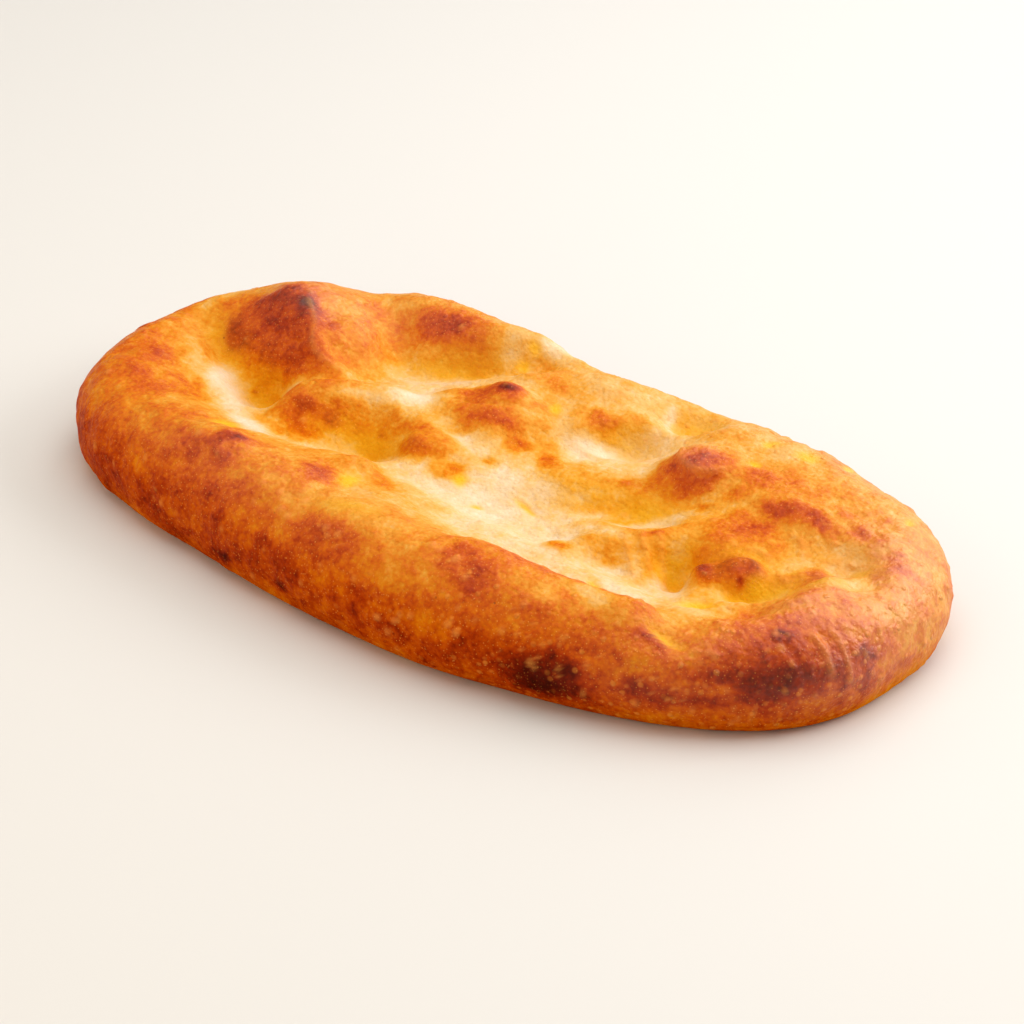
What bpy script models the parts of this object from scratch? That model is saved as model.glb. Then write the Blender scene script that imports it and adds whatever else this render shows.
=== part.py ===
"""An uncut oval focaccia, shaped by hand and baked as one piece of bread.

A thick rounded rim runs round a lower middle, which fingers have pressed into
dimples, and the dough between them has risen into hills and blisters. It is one
closed solid in metres, +Z up, resting on its flat base. The origin is on the base,
under the middle of the outline. X runs along the bread, and the plain, smooth side
of the rim faces -Y. Positions and heights of features are given in millimetres.
"""

import math

import bmesh
import bpy
import numpy as np

MM = 0.001

# Driving dimensions, in metres. The bulge is the widest level of the side; the insets
# are how far inside it the rim's crest and the foot lie.
LENGTH = 0.300
WIDTH = 0.154
RIM_HEIGHT = 0.033
MIDDLE_HEIGHT = 0.0225
BULGE_HEIGHT = 0.012
CREST_INSET = 0.020
FOOT_INSET = 0.008

# The outline: an oval between an ellipse and a rounded rectangle, pulled in or out
# by hand at even steps of angle, anticlockwise from +X. Positive is outward.
OVAL_POWER = 2.5
OUT_OF_TRUE_MM = (-1, 3.5, -1, -3.5, -7, -2, 5.5, 3.5, -1, 1, -4, -1.5, 0, 0, -3.5, -5)
OUTLINE_STEPS = 480

# How far the rim's crest rises or sinks, at even steps of angle as above.
RIM_RISE_MM = (0, 0.5, -1.5, 0, 3, -2.5, -2.5, -1.5, 0, 0, 0, 0)

# The width of the fall from the crest to the middle, as above.
RIM_SLOPE_MM = (15, 16, 17, 17, 16, 17, 20, 24, 24, 20, 15, 13)

# Raised places, in mm: middle x and y, the height of the top, half the length and half
# the width (where it is half-way up), and the turn of the length from +X in degrees.
HILLS = {
    "far_left_dome": (-97, 31, 37, 22, 16, -30),
    "far_left_peak": (-103, 31, 40, 9, 7, -30),
    "far_left_lobe": (-83, 27, 35, 10, 9, 0),
    "far_rim_hill": (-60, 61, 34, 20, 9, 3),
    "far_middle_hump": (-7, 48, 30, 9, 8, 30),
    "middle_hill": (-15, 23, 31.5, 17, 10, 25),
    "middle_tip": (-17, 29, 35, 7, 4.5, 15),
    "middle_hill_left": (-28, 22, 29, 9, 6, 20),
    "middle_shelf": (28, 14, 24.5, 24, 8, 12),
    "far_middle_hill": (13, 38, 29, 12, 8, 30),
    "far_middle_rise": (24, 52, 28, 8, 7, 30),
    "right_hill": (96, 31, 32, 30, 15, 0),
    "right_hill_nose": (66, 38, 32, 15, 9, 12),
    "right_shelf": (85, 9, 27, 16, 9, 10),
    "left_rim_hill": (-66, -49, 35, 13, 7, -8),
    "left_rim_knob": (-31, -28, 28.5, 7, 5, 20),
    "front_rim_hill": (36, -54, 34.5, 15, 9, 5),
}

# Steep-sided bubbles under the crust, as above.
BLISTERS = {
    "right_blister": (57, 31, 33.8, 10.5, 8.5, 15),
    "right_knob": (96, -5, 27.5, 6.5, 5.5, 30),
    "right_knob_left": (86, -10, 25.5, 5, 4.5, 30),
    "middle_left_knob": (-22, -1, 26.5, 8, 5.5, 20),
    "valley_button": (43, -22, 22.5, 6, 4.5, 0),
    "valley_pebble": (93, -25, 23, 5.5, 4, 0),
}

# Pressed places, as above, with the height of the floor.
DIMPLES = {
    "left_pit": (-90, -3, 12.5, 9, 7, -30),
    "middle_basin": (24, -12, 18.5, 16, 9, 10),
    "far_middle_trough": (29, 34, 19.5, 12, 6, 28),
    "far_notch": (38, 53, 23, 9, 6, 25),
    "right_pit": (77, -11, 13.5, 7.5, 5, -50),
    "left_rim_dip": (-20, -43, 28.5, 8, 4, -5),
    "right_slot": (104, -11, 19, 9, 4.5, 35),
    "right_end_slot": (123, 12, 24, 7.5, 5, 20),
    "right_end_dip": (131, 5, 28, 9, 6, -70),
    "front_saddle": (100, -42, 27.5, 9, 11, 10),
}

# Long hollows, in mm: half the width, then the points (x, y, floor height) it passes.
HOLLOWS = {
    "far_left_valley": (6.5, (-71, 18, 22), (-62, 28, 20), (-51, 37, 19.5), (-39, 44, 20.5),
                        (-28, 49, 22.5), (-19, 53, 27)),
    "far_left_branch": (4, (-62, 34, 19), (-71, 42, 23), (-77, 50, 29)),
    "middle_gap": (5, (-52, 25, 22.5), (-41, 19, 23.5), (-32, 11, 23.5)),
    "left_end_slope": (11, (-81, -18, 21.5), (-102, -8, 23), (-120, 2, 28)),
    "left_end_groove": (6, (-91, -3, 14), (-106, 3, 18.5), (-119, 9, 22), (-128, 13, 26.5)),
    "left_trough": (7, (-66, -20, 21), (-55, -16, 18.5), (-45, -12, 15.5), (-36, -11, 16.5)),
    "front_valley": (7, (-21, -18, 22), (-3, -17, 21), (25, -18, 18.5), (62, -23, 18), (80, -25, 19.5)),
    "front_shelf": (7, (18, -29, 22.5), (40, -31, 22), (62, -33, 22.5), (82, -34, 23), (97, -31, 23),
                    (110, -24, 25.5)),
    "middle_trough": (6, (22, -4, 20), (36, 2, 19), (49, 6, 18), (58, 7, 20)),
}

# Long ridges of risen dough, as above, with the height of the crest.
RIDGES = {
    "far_left_crease": (3.5, (-103, 30, 40), (-90, 21, 38), (-82, 15, 35), (-76, 13, 31), (-71, 14, 28)),
    "left_ridge": (6.5, (-73, -4, 30), (-66, 1, 31), (-58, 6, 30), (-50, 11, 28.5), (-39, 9, 27)),
    "left_ridge_end": (5, (-39, 9, 27), (-31, 6, 27), (-24, 1, 26.5)),
    "valley_ridge": (5, (44, -19, 22.5), (50, -13, 24.5), (57, -7, 25.5), (66, -1, 25.5)),
    "right_end_ridge": (4, (104, -2, 24.5), (110, 2, 26), (117, 5, 27.5), (122, 8, 26)),
}

# Gentle unevenness of the risen dough: how many waves, how long they are and how high
# they add up to, in mm, and the seed their directions are drawn from.
SWELL_COUNT = 14
SWELL_LENGTHS_MM = (26, 60)
SWELL_HEIGHT_MM = 0.9
SWELL_SEED = 7

# How flat-topped and steep-sided each kind of feature is.
HILL_POWER = 1.3
RUN_POWER = 1.3
DIMPLE_POWER = 1.4
BLISTER_POWER = 1.8

# The skin of the dough rounds off every edge: the height is averaged over a small disc.
SKIN_RADIUS = 0.0035
SKIN_SAMPLES = 14
GOLDEN_ANGLE = math.pi * (3 - math.sqrt(5))

# How the surface is divided: quads along and across the top, rings under the bulge, and
# steps in each span of a long hollow or ridge.
STEPS_ALONG = 80
STEPS_ACROSS = 48
UNDER_RINGS = 4
RUN_STEPS = 8
NEARLY = 1e-6

CRUST_COLOUR = (0.72, 0.30, 0.07, 1.0)
CRUST_ROUGHNESS = 0.55


def smooth_round(values, angle):
    """A closed smooth curve (Catmull-Rom) through values at even steps of angle."""
    values = np.asarray(values, float)
    count = len(values)
    place = (angle % math.tau) / math.tau * count
    at = np.floor(place).astype(int)
    t = place - at
    before, here, after, later = (values[(at + k) % count] for k in (-1, 0, 1, 2))
    linear = after - before
    square = 2 * before - 5 * here + 4 * after - later
    cube = 3 * here - before - 3 * after + later
    return here + 0.5 * (linear * t + square * t**2 + cube * t**3)


def make_outline():
    """Points of the outline at bulge height, anticlockwise from +X, filling LENGTH by WIDTH."""
    angle = np.linspace(0, math.tau, OUTLINE_STEPS, endpoint=False)
    along = np.abs(np.cos(angle) / (LENGTH / 2)) ** OVAL_POWER
    across = np.abs(np.sin(angle) / (WIDTH / 2)) ** OVAL_POWER
    radius = (along + across) ** (-1 / OVAL_POWER) + smooth_round(OUT_OF_TRUE_MM, angle) * MM
    points = np.stack([radius * np.cos(angle), radius * np.sin(angle)], axis=1)
    low, high = points.min(axis=0), points.max(axis=0)
    return (points - (low + high) / 2) * np.array([LENGTH, WIDTH]) / (high - low)


OUTLINE = make_outline()


def along_outline(fraction):
    """Outline points and outward normals at fractions of the way round."""
    closed = np.vstack([OUTLINE, OUTLINE[:1]])
    steps = np.hypot(*np.diff(closed, axis=0).T)
    reach = np.concatenate([[0], np.cumsum(steps)]) / steps.sum()
    ahead = np.roll(OUTLINE, -1, axis=0) - np.roll(OUTLINE, 1, axis=0)
    normal = np.stack([ahead[:, 1], -ahead[:, 0]], axis=1)
    normal /= np.hypot(*normal.T)[:, None]
    normal = np.vstack([normal, normal[:1]])
    points = np.stack([np.interp(fraction, reach, closed[:, k]) for k in (0, 1)], axis=1)
    normals = np.stack([np.interp(fraction, reach, normal[:, k]) for k in (0, 1)], axis=1)
    return points, normals


def inset_from_outline(plan):
    """Distance of each plan point from the outline."""
    inset = np.full(len(plan), LENGTH)
    for x, y in OUTLINE:
        inset = np.minimum(inset, np.hypot(plan[:, 0] - x, plan[:, 1] - y))
    return inset


def pull_towards(height, plan, x, y, target, half_length, half_width, turn, power):
    """Draws the surface up or down to a target height over an oval spot.

    The pull is full in the middle of the spot, a half at its edge and none well outside;
    a higher power makes the middle flatter and the sides steeper.
    """
    c, s = math.cos(math.radians(turn)), math.sin(math.radians(turn))
    dx, dy = plan[:, 0] - x * MM, plan[:, 1] - y * MM
    along = (dx * c + dy * s) / (half_length * MM)
    across = (dy * c - dx * s) / (half_width * MM)
    pull = 0.5 ** ((along**2 + across**2) ** power)
    return height + pull * (target * MM - height)


def smooth_run(points):
    """Points a few to each span along a smooth curve (Catmull-Rom) through the given ones."""
    points = np.asarray(points, float)
    padded = np.vstack([2 * points[0] - points[1], points, 2 * points[-1] - points[-2]])
    t = np.linspace(0, 1, RUN_STEPS, endpoint=False)[:, None]
    spans = [padded[k + 1] + 0.5 * (
        (padded[k + 2] - padded[k]) * t
        + (2 * padded[k] - 5 * padded[k + 1] + 4 * padded[k + 2] - padded[k + 3]) * t**2
        + (3 * padded[k + 1] - padded[k] - 3 * padded[k + 2] + padded[k + 3]) * t**3)
        for k in range(len(points) - 1)]
    return np.vstack(spans + [points[-1:]])


def run_weight(plan, half_width, points):
    """Weight across a long run, and the run's own height beside each plan point."""
    run = smooth_run(points) * MM
    apart = ((plan[:, None, :] - run[None, :, :2]) ** 2).sum(axis=2)
    apart /= (half_width * MM) ** 2
    nearest = apart.min(axis=1)
    share = np.exp(nearest[:, None] - apart)
    height = share @ run[:, 2] / share.sum(axis=1)
    return 0.5 ** (nearest**RUN_POWER), height


def dough_swell(plan):
    """A smooth, irregular rise and fall of the dough's surface."""
    draw = np.random.default_rng(SWELL_SEED)
    rise = np.zeros(len(plan))
    for _ in range(SWELL_COUNT):
        direction = draw.uniform(0, math.tau)
        wave = math.tau / (draw.uniform(*SWELL_LENGTHS_MM) * MM)
        travel = plan[:, 0] * math.cos(direction) + plan[:, 1] * math.sin(direction)
        rise += np.sin(travel * wave + draw.uniform(0, math.tau))
    return rise * SWELL_HEIGHT_MM * MM / math.sqrt(SWELL_COUNT)


def pressed_height(plan):
    """Height of the risen and pressed dough, with its edges still sharp."""
    way = np.arctan2(plan[:, 1], plan[:, 0])
    crest = RIM_HEIGHT + smooth_round(RIM_RISE_MM, way) * MM
    slope = smooth_round(RIM_SLOPE_MM, way) * MM
    beyond = np.maximum(inset_from_outline(plan) - CREST_INSET, 0) / slope
    height = MIDDLE_HEIGHT + (crest - MIDDLE_HEIGHT) * np.exp(-(beyond**2)) + dough_swell(plan)
    for half_width, *points in HOLLOWS.values():
        weight, floor = run_weight(plan, half_width, points)
        height += weight * (floor - height)
    for spot in HILLS.values():
        height = pull_towards(height, plan, *spot, HILL_POWER)
    for half_width, *points in RIDGES.values():
        weight, crest = run_weight(plan, half_width, points)
        height += weight * (crest - height)
    for spot in DIMPLES.values():
        height = pull_towards(height, plan, *spot, DIMPLE_POWER)
    return height


def crown_height(plan):
    """Height of the upper surface before its edge is rounded down to the bulge."""
    height = np.zeros(len(plan))
    for k in range(SKIN_SAMPLES):
        reach = SKIN_RADIUS * math.sqrt((k + 0.5) / SKIN_SAMPLES)
        turn = k * GOLDEN_ANGLE
        height += pressed_height(plan + [reach * math.cos(turn), reach * math.sin(turn)])
    height /= SKIN_SAMPLES
    for spot in BLISTERS.values():
        height = pull_towards(height, plan, *spot, BLISTER_POWER)
    return height


def way_round(u, v):
    """How far round its ring each grid point lies, from 0 to 1, anticlockwise from +X."""
    ring = np.maximum(np.maximum(np.abs(u), np.abs(v)), NEARLY)
    a, b = u / ring, v / ring
    half_along, half_across = STEPS_ALONG / 2, STEPS_ACROSS / 2
    quarter = half_along + half_across
    on_sides = [
        (a >= 1 - NEARLY, b * half_across),
        (b >= 1 - NEARLY, quarter - a * half_along),
        (a <= NEARLY - 1, 2 * quarter - b * half_across),
    ]
    last = 3 * quarter + a * half_along
    way = np.select([side for side, _ in on_sides], [steps for _, steps in on_sides], last)
    return way / (4 * quarter) % 1


def upper_surface(u, v):
    """Places grid points (-1 to 1 each way) on the crown, in rings shaped like the outline.

    The rings are evenly spaced along the surface: flat over the middle, then down the
    rounded edge, which keeps the same section all the way round, to the bulge.
    """
    rim, outward = along_outline(way_round(u, v))
    crest = rim - outward * CREST_INSET
    flat = np.hypot(*crest.T)
    bend = CREST_INSET * math.pi / 2
    reach = np.maximum(np.abs(u), np.abs(v)) * (flat + bend)
    turn = np.clip((reach - flat) / bend, 0, 1) * math.pi / 2
    edge_inset = CREST_INSET * (1 - np.sin(turn))
    middle = crest * np.minimum(reach / flat, 1)[:, None]
    edge = rim - outward * edge_inset[:, None]
    plan = np.where((turn > 0)[:, None], edge, middle)
    height = BULGE_HEIGHT + (crown_height(plan) - BULGE_HEIGHT) * np.cos(turn)
    return np.column_stack([plan, height])


def under_surface(u, v, depth):
    """Places rim points (depth 0 at the bulge, 1 at the flat base) on the underside's curve."""
    rim, outward = along_outline(way_round(u, v))
    turn = depth * math.pi / 2
    plan = rim - outward * (FOOT_INSET * (1 - np.cos(turn)))[:, None]
    return np.column_stack([plan, BULGE_HEIGHT * (1 - np.sin(turn))])


def bread_mesh():
    """A grid for the top, its rim extruded into rings under the bulge, and a flat base."""
    bm = bmesh.new()
    bmesh.ops.create_grid(bm, x_segments=STEPS_ALONG, y_segments=STEPS_ACROSS, size=1)
    top_count = len(bm.verts)
    depths = [0.0] * top_count
    rim_edges = [edge for edge in bm.edges if edge.is_boundary]
    for ring in range(1, UNDER_RINGS + 1):
        made = bmesh.ops.extrude_edge_only(bm, edges=rim_edges)["geom"]
        depths += [ring / UNDER_RINGS for item in made if isinstance(item, bmesh.types.BMVert)]
        rim_edges = [item for item in made if isinstance(item, bmesh.types.BMEdge) and item.is_boundary]
    bmesh.ops.contextual_create(bm, geom=rim_edges)
    grid = np.array([vert.co[:2] for vert in bm.verts])
    top = upper_surface(*grid[:top_count].T)
    under = under_surface(*grid[top_count:].T, np.array(depths[top_count:]))
    for vert, place in zip(bm.verts, np.vstack([top, under])):
        vert.co = place
    bmesh.ops.triangulate(bm, faces=bm.faces[:])
    bmesh.ops.recalc_face_normals(bm, faces=bm.faces[:])
    mesh = bpy.data.meshes.new("focaccia")
    bm.to_mesh(mesh)
    bm.free()
    mesh.shade_smooth()
    return mesh


def crust_material():
    """Golden-brown baked crust with a slight sheen of oil."""
    material = bpy.data.materials.new("baked_crust")
    material.use_nodes = True
    shader = material.node_tree.nodes["Principled BSDF"]
    shader.inputs["Base Color"].default_value = CRUST_COLOUR
    shader.inputs["Roughness"].default_value = CRUST_ROUGHNESS
    shader.inputs["Metallic"].default_value = 0.0
    return material


def main():
    for thing in list(bpy.data.objects):
        bpy.data.objects.remove(thing)
    mesh = bread_mesh()
    mesh.materials.append(crust_material())
    bread = bpy.data.objects.new("focaccia", mesh)
    bpy.context.scene.collection.objects.link(bread)


if __name__ == "__main__":
    main()
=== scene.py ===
"""An uncut oval focaccia on a pale table top, in soft studio light.

The bread is one piece. Places and sizes on it are in millimetres in the bread's own
frame: X along the bread, -Y towards its plain front rim, +Z up from the base.
"""

import math

import bmesh
import bpy
import numpy as np
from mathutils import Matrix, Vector, kdtree, noise


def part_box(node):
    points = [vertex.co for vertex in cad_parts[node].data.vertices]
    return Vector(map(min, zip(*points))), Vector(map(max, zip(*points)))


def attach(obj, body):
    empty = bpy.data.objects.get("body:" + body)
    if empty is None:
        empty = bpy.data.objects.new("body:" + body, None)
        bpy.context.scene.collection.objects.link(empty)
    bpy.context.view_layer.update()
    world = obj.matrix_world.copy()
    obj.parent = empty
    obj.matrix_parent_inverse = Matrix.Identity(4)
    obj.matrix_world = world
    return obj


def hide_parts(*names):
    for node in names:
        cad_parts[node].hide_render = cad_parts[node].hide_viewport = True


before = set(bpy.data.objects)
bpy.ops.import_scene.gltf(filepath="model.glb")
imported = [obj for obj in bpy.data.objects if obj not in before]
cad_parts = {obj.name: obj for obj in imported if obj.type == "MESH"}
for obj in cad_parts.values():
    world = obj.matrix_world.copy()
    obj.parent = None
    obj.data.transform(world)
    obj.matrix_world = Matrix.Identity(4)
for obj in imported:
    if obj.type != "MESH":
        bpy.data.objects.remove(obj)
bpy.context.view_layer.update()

# ---------------------------------------------------------------------------------------
# The risen dough: one hand-shaped oval of wheat dough, thick at the rim, lower in the
# middle where fingers pressed it down to the tray, and risen into hills in between.
# ---------------------------------------------------------------------------------------

MM = 0.001
low, high = (np.array(corner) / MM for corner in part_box("focaccia"))
LENGTH, WIDTH = (high - low)[:2]

# Heights of the rim's crest, the pressed middle and the widest line round the bread, and how
# far the crest and the edge of the flat base lie in from that line.
RIM_HEIGHT = 33
MIDDLE_HEIGHT = 22.5
BULGE_HEIGHT = 12
CREST_INSET = 20
FOOT_INSET = 8

# The outline is an oval, pulled in or out at even steps of angle, anticlockwise from +X. The
# rise or sinking of the rim's crest and the width of its fall to the middle go round likewise.
OVAL_POWER = 2.5
OUT_OF_TRUE = (-1, 3.5, -1, -3.5, -7, -2, 5.5, 3.5, -1, 1, -4, -1.5, 0, 0, -3.5, -5)
RIM_RISE = (0, 0.5, -1.5, 0, 3, -2.5, -2.5, -1.5, 0, 0, 0, 0)
RIM_SLOPE = (15, 16, 17, 17, 16, 17, 20, 24, 24, 20, 15, 13)
OUTLINE_STEPS = 480

# Raised and pressed places: middle x and y, the height of the top or the floor, half the
# length and half the width, and the turn of the length from +X in degrees.
HILLS = {
    "far_left_dome": (-97, 31, 37, 22, 16, -30),
    "far_left_peak": (-103, 31, 40, 9, 7, -30),
    "far_left_lobe": (-83, 27, 35, 10, 9, 0),
    "far_rim_hill": (-60, 61, 34, 20, 9, 3),
    "far_middle_hump": (-7, 48, 30, 9, 8, 30),
    "middle_hill": (-15, 23, 31.5, 17, 10, 25),
    "middle_tip": (-17, 29, 35, 7, 4.5, 15),
    "middle_hill_left": (-28, 22, 29, 9, 6, 20),
    "middle_shelf": (28, 14, 24.5, 24, 8, 12),
    "far_middle_hill": (13, 38, 29, 12, 8, 30),
    "far_middle_rise": (24, 52, 28, 8, 7, 30),
    "right_hill": (96, 31, 32, 30, 15, 0),
    "right_hill_nose": (66, 38, 32, 15, 9, 12),
    "right_shelf": (85, 9, 27, 16, 9, 10),
    "left_rim_hill": (-66, -49, 35, 13, 7, -8),
    "left_rim_knob": (-31, -28, 28.5, 7, 5, 20),
    "front_rim_hill": (36, -54, 34.5, 15, 9, 5),
}
BLISTERS = {
    "right_blister": (57, 31, 33.8, 10.5, 8.5, 15),
    "right_knob": (96, -5, 27.5, 6.5, 5.5, 30),
    "right_knob_left": (86, -10, 25.5, 5, 4.5, 30),
    "middle_left_knob": (-22, -1, 26.5, 8, 5.5, 20),
    "valley_button": (43, -22, 22.5, 6, 4.5, 0),
    "valley_pebble": (93, -25, 23, 5.5, 4, 0),
}
DIMPLES = {
    "left_pit": (-90, -3, 12.5, 9, 7, -30),
    "middle_basin": (24, -12, 18.5, 16, 9, 10),
    "far_middle_trough": (29, 34, 19.5, 12, 6, 28),
    "far_notch": (38, 53, 23, 9, 6, 25),
    "right_pit": (77, -11, 13.5, 7.5, 5, -50),
    "left_rim_dip": (-20, -43, 28.5, 8, 4, -5),
    "right_slot": (104, -11, 19, 9, 4.5, 35),
    "right_end_slot": (123, 12, 24, 7.5, 5, 20),
    "right_end_dip": (131, 5, 28, 9, 6, -70),
    "front_saddle": (100, -42, 27.5, 9, 11, 10),
}

# Long hollows and ridges: half the width, then the points (x, y, height) they pass. A higher
# power gives a spot or a run a flatter middle and steeper sides.
HOLLOWS = {
    "far_left_valley": (6.5, (-71, 18, 22), (-62, 28, 20), (-51, 37, 19.5), (-39, 44, 20.5),
                        (-28, 49, 22.5), (-19, 53, 27)),
    "far_left_branch": (4, (-62, 34, 19), (-71, 42, 23), (-77, 50, 29)),
    "middle_gap": (5, (-52, 25, 22.5), (-41, 19, 23.5), (-32, 11, 23.5)),
    "left_end_slope": (11, (-81, -18, 21.5), (-102, -8, 23), (-120, 2, 28)),
    "left_end_groove": (6, (-91, -3, 14), (-106, 3, 18.5), (-119, 9, 22), (-128, 13, 26.5)),
    "left_trough": (7, (-66, -20, 21), (-55, -16, 18.5), (-45, -12, 15.5), (-36, -11, 16.5)),
    "front_valley": (7, (-21, -18, 22), (-3, -17, 21), (25, -18, 18.5), (62, -23, 18), (80, -25, 19.5)),
    "front_shelf": (7, (18, -29, 22.5), (40, -31, 22), (62, -33, 22.5), (82, -34, 23), (97, -31, 23),
                    (110, -24, 25.5)),
    "middle_trough": (6, (22, -4, 20), (36, 2, 19), (49, 6, 18), (58, 7, 20)),
}
RIDGES = {
    "far_left_crease": (3.5, (-103, 30, 40), (-90, 21, 38), (-82, 15, 35), (-76, 13, 31), (-71, 14, 28)),
    "left_ridge": (6.5, (-73, -4, 30), (-66, 1, 31), (-58, 6, 30), (-50, 11, 28.5), (-39, 9, 27)),
    "left_ridge_end": (5, (-39, 9, 27), (-31, 6, 27), (-24, 1, 26.5)),
    "valley_ridge": (5, (44, -19, 22.5), (50, -13, 24.5), (57, -7, 25.5), (66, -1, 25.5)),
    "right_end_ridge": (4, (104, -2, 24.5), (110, 2, 26), (117, 5, 27.5), (122, 8, 26)),
}
HILL_POWER = 1.3
RUN_POWER = 1.3
DIMPLE_POWER = 1.4
BLISTER_POWER = 1.8

# The dough swells in waves that cross each other. Its skin rounds off what is sharper than
# the skin's own radius: the height is averaged over a few places inside that radius.
SWELL_COUNT = 14
SWELL_LENGTHS = (26, 60)
SWELL_HEIGHT = 0.9
SWELL_SEED = 7
SKIN_RADIUS = 3.5
SKIN_SAMPLES = 14
GOLDEN_ANGLE = math.pi * (3 - math.sqrt(5))

# The mesh: steps over the crown each way, rings down the underside, and points to each span
# of a hollow or a ridge.
STEPS_ALONG = 384
STEPS_ACROSS = 228
UNDER_RINGS = 8
RUN_STEPS = 8
NEARLY = 1e-6


def smooth_round(values, angle):
    """A closed smooth curve through values at even steps of angle."""
    values = np.asarray(values, float)
    count = len(values)
    place = (angle % math.tau) / math.tau * count
    at = np.floor(place).astype(int)
    t = place - at
    before, here, after, later = (values[(at + k) % count] for k in (-1, 0, 1, 2))
    linear = after - before
    square = 2 * before - 5 * here + 4 * after - later
    cube = 3 * here - before - 3 * after + later
    return here + 0.5 * (linear * t + square * t**2 + cube * t**3)


def make_outline():
    """Points of the outline at bulge height, anticlockwise from +X, filling LENGTH by WIDTH."""
    angle = np.linspace(0, math.tau, OUTLINE_STEPS, endpoint=False)
    along = np.abs(np.cos(angle) / (LENGTH / 2)) ** OVAL_POWER
    across = np.abs(np.sin(angle) / (WIDTH / 2)) ** OVAL_POWER
    radius = (along + across) ** (-1 / OVAL_POWER) + smooth_round(OUT_OF_TRUE, angle)
    points = np.stack([radius * np.cos(angle), radius * np.sin(angle)], axis=1)
    least, most = points.min(axis=0), points.max(axis=0)
    return (points - (least + most) / 2) * np.array([LENGTH, WIDTH]) / (most - least)


OUTLINE = make_outline()


def along_outline(fraction):
    """Outline points and outward normals at fractions of the way round."""
    closed = np.vstack([OUTLINE, OUTLINE[:1]])
    steps = np.hypot(*np.diff(closed, axis=0).T)
    reach = np.concatenate([[0], np.cumsum(steps)]) / steps.sum()
    ahead = np.roll(OUTLINE, -1, axis=0) - np.roll(OUTLINE, 1, axis=0)
    normal = np.stack([ahead[:, 1], -ahead[:, 0]], axis=1)
    normal /= np.hypot(*normal.T)[:, None]
    normal = np.vstack([normal, normal[:1]])
    points = np.stack([np.interp(fraction, reach, closed[:, k]) for k in (0, 1)], axis=1)
    normals = np.stack([np.interp(fraction, reach, normal[:, k]) for k in (0, 1)], axis=1)
    return points, normals


def rim_share(plan):
    """How far up the rim each plan point lies: 1 on and outside the crest, 0 in the middle."""
    inset = np.full(len(plan), LENGTH)
    for x, y in OUTLINE:
        inset = np.minimum(inset, np.hypot(plan[:, 0] - x, plan[:, 1] - y))
    slope = smooth_round(RIM_SLOPE, np.arctan2(plan[:, 1], plan[:, 0]))
    beyond = np.maximum(inset - CREST_INSET, 0) / slope
    return np.exp(-(beyond**2))


def pull_towards(level, plan, x, y, target, half_length, half_width, turn, power):
    """Draws a height, or a browning, towards a target over an oval spot.

    The pull is full in the middle of the spot, a half at its edge and none well outside;
    a higher power makes the middle flatter and the sides steeper.
    """
    c, s = math.cos(math.radians(turn)), math.sin(math.radians(turn))
    dx, dy = plan[:, 0] - x, plan[:, 1] - y
    along = (dx * c + dy * s) / half_length
    across = (dy * c - dx * s) / half_width
    pull = 0.5 ** ((along**2 + across**2) ** power)
    return level + pull * (target - level)


def smooth_run(points):
    """Points a few to each span along a smooth curve through the given ones."""
    points = np.asarray(points, float)
    padded = np.vstack([2 * points[0] - points[1], points, 2 * points[-1] - points[-2]])
    t = np.linspace(0, 1, RUN_STEPS, endpoint=False)[:, None]
    spans = [padded[k + 1] + 0.5 * (
        (padded[k + 2] - padded[k]) * t
        + (2 * padded[k] - 5 * padded[k + 1] + 4 * padded[k + 2] - padded[k + 3]) * t**2
        + (3 * padded[k + 1] - padded[k] - 3 * padded[k + 2] + padded[k + 3]) * t**3)
        for k in range(len(points) - 1)]
    return np.vstack(spans + [points[-1:]])


def pull_to_run(level, plan, half_width, points, power=RUN_POWER):
    """Draws a height towards that of a long run, beside the run."""
    run = smooth_run(points)
    reach = 3 * half_width
    least, most = run[:, :2].min(axis=0) - reach, run[:, :2].max(axis=0) + reach
    beside = np.flatnonzero(((plan > least) & (plan < most)).all(axis=1))
    apart = ((plan[beside, None, :] - run[None, :, :2]) ** 2).sum(axis=2) / half_width**2
    nearest = apart.min(axis=1)
    share = np.exp(nearest[:, None] - apart)
    target = share @ run[:, 2] / share.sum(axis=1)
    level[beside] += 0.5 ** (nearest**power) * (target - level[beside])
    return level


def dough_swell(plan):
    """A smooth, irregular rise and fall of the dough's surface."""
    draw = np.random.default_rng(SWELL_SEED)
    rise = np.zeros(len(plan))
    for _ in range(SWELL_COUNT):
        direction = draw.uniform(0, math.tau)
        wave = math.tau / draw.uniform(*SWELL_LENGTHS)
        travel = plan[:, 0] * math.cos(direction) + plan[:, 1] * math.sin(direction)
        rise += np.sin(travel * wave + draw.uniform(0, math.tau))
    return rise * SWELL_HEIGHT / math.sqrt(SWELL_COUNT)


def pressed_height(plan):
    """Height of the risen and pressed dough, with its edges still sharp."""
    crest = RIM_HEIGHT + smooth_round(RIM_RISE, np.arctan2(plan[:, 1], plan[:, 0]))
    height = MIDDLE_HEIGHT + (crest - MIDDLE_HEIGHT) * rim_share(plan) + dough_swell(plan)
    for run in HOLLOWS.values():
        height = pull_to_run(height, plan, run[0], run[1:])
    for spot in HILLS.values():
        height = pull_towards(height, plan, *spot, HILL_POWER)
    for run in RIDGES.values():
        height = pull_to_run(height, plan, run[0], run[1:])
    for spot in DIMPLES.values():
        height = pull_towards(height, plan, *spot, DIMPLE_POWER)
    return height


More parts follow.
